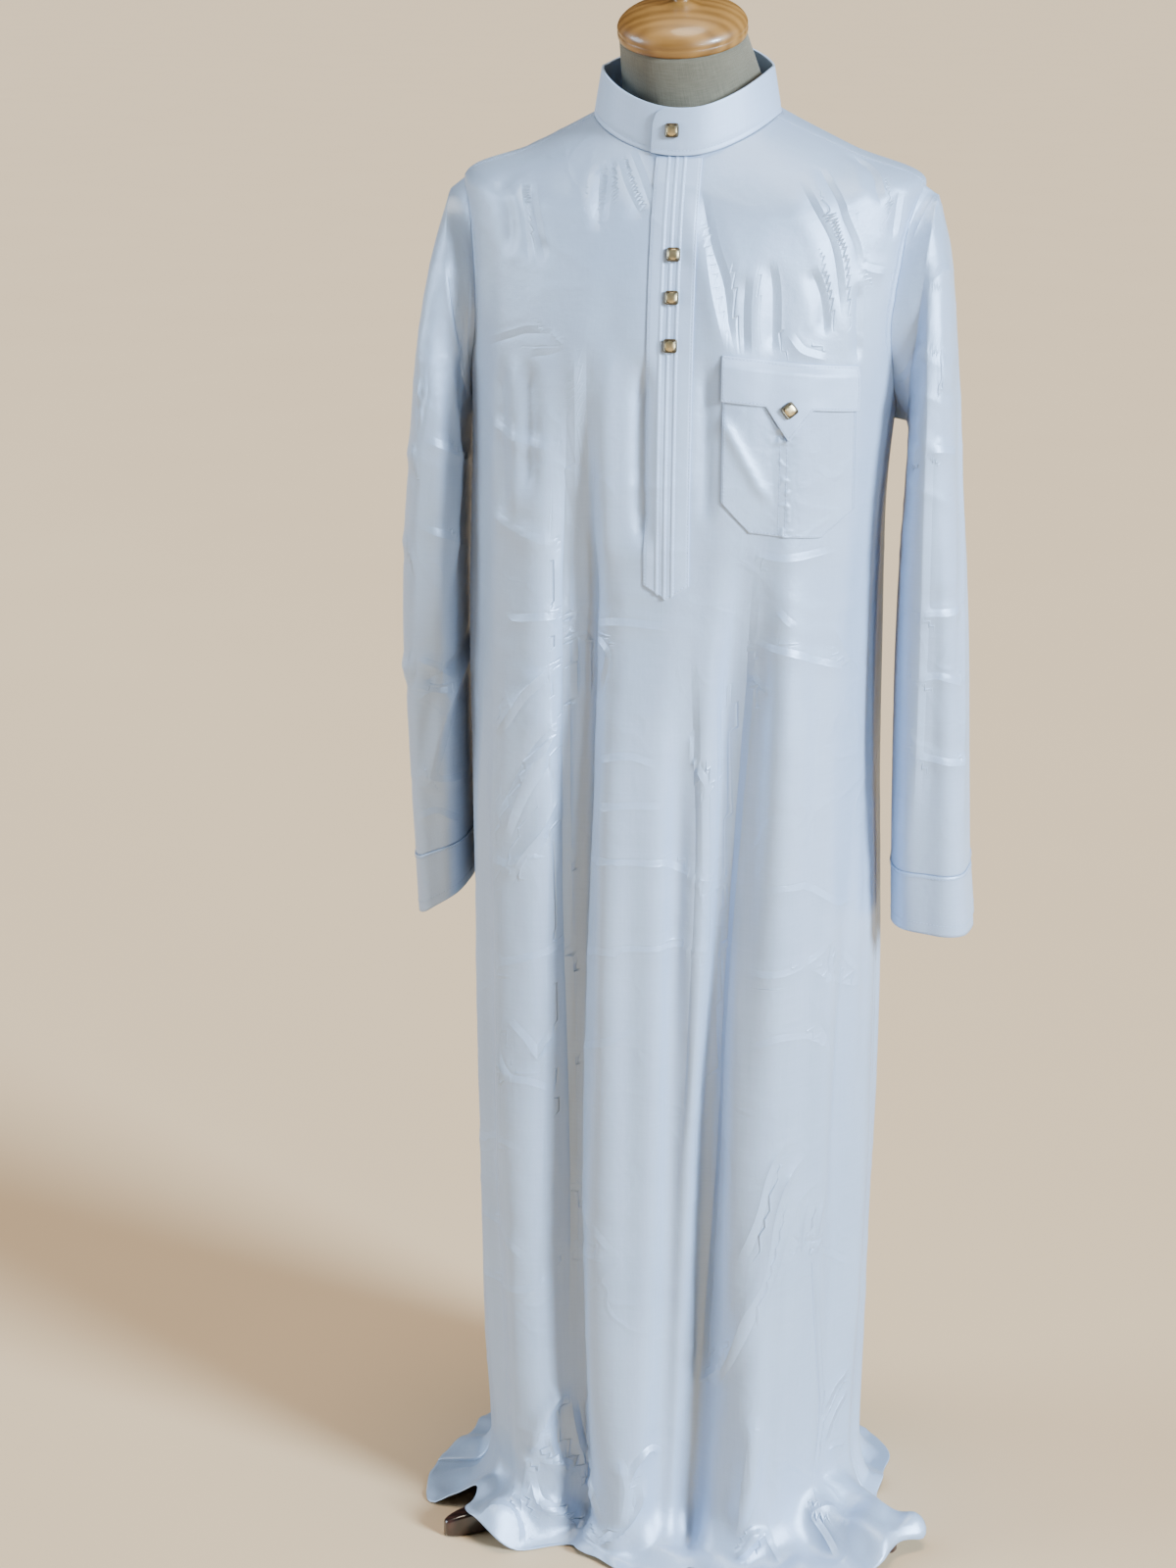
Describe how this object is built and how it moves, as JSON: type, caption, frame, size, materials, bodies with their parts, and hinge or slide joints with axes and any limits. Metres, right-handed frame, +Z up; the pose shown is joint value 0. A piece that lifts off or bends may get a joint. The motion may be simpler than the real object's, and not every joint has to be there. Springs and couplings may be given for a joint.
{
  "type": "thobe robe on dress form",
  "caption": "Long white satin robe with a band collar, buttoned placket and flapped breast pocket, worn by a limbless linen dress form on a low legged stand.",
  "frame": {"origin": "on the floor, at the middle of the underside of the stand's hub", "axes": "+Z up along the stand's pole; -Y is the robe's front; +X is the wearer's left, where the breast pocket is"},
  "size_m": [0.5647, 0.4842, 1.552],
  "materials": {
    "satin": "soft white satin with a cool sheen",
    "stiffened_satin": "white satin over a stiff backing",
    "brass": "pale gold face in a darker, aged rim",
    "linen": "grey-beige slubbed linen",
    "varnished_wood": "golden, glossy varnish",
    "dark_wood": "dark brown, glossy"
  },
  "bodies": {
    "root": {"front": "satin", "back": "satin", "sleeve_left": "satin", "sleeve_right": "satin", "cuff_left": "satin", "cuff_right": "satin", "collar": "stiffened_satin", "placket": "stiffened_satin", "pocket": "satin", "pocket_flap": "stiffened_satin", "button_collar": "brass", "button_placket_1": "brass", "button_placket_2": "brass", "button_placket_3": "brass", "button_pocket": "brass", "form_torso": "linen", "form_neck_cap": "varnished_wood", "stand_pole": "dark_wood", "stand_hub": "dark_wood", "stand_leg_left": "dark_wood", "stand_leg_right": "dark_wood", "stand_leg_back": "dark_wood"}
  },
  "joints": []
}
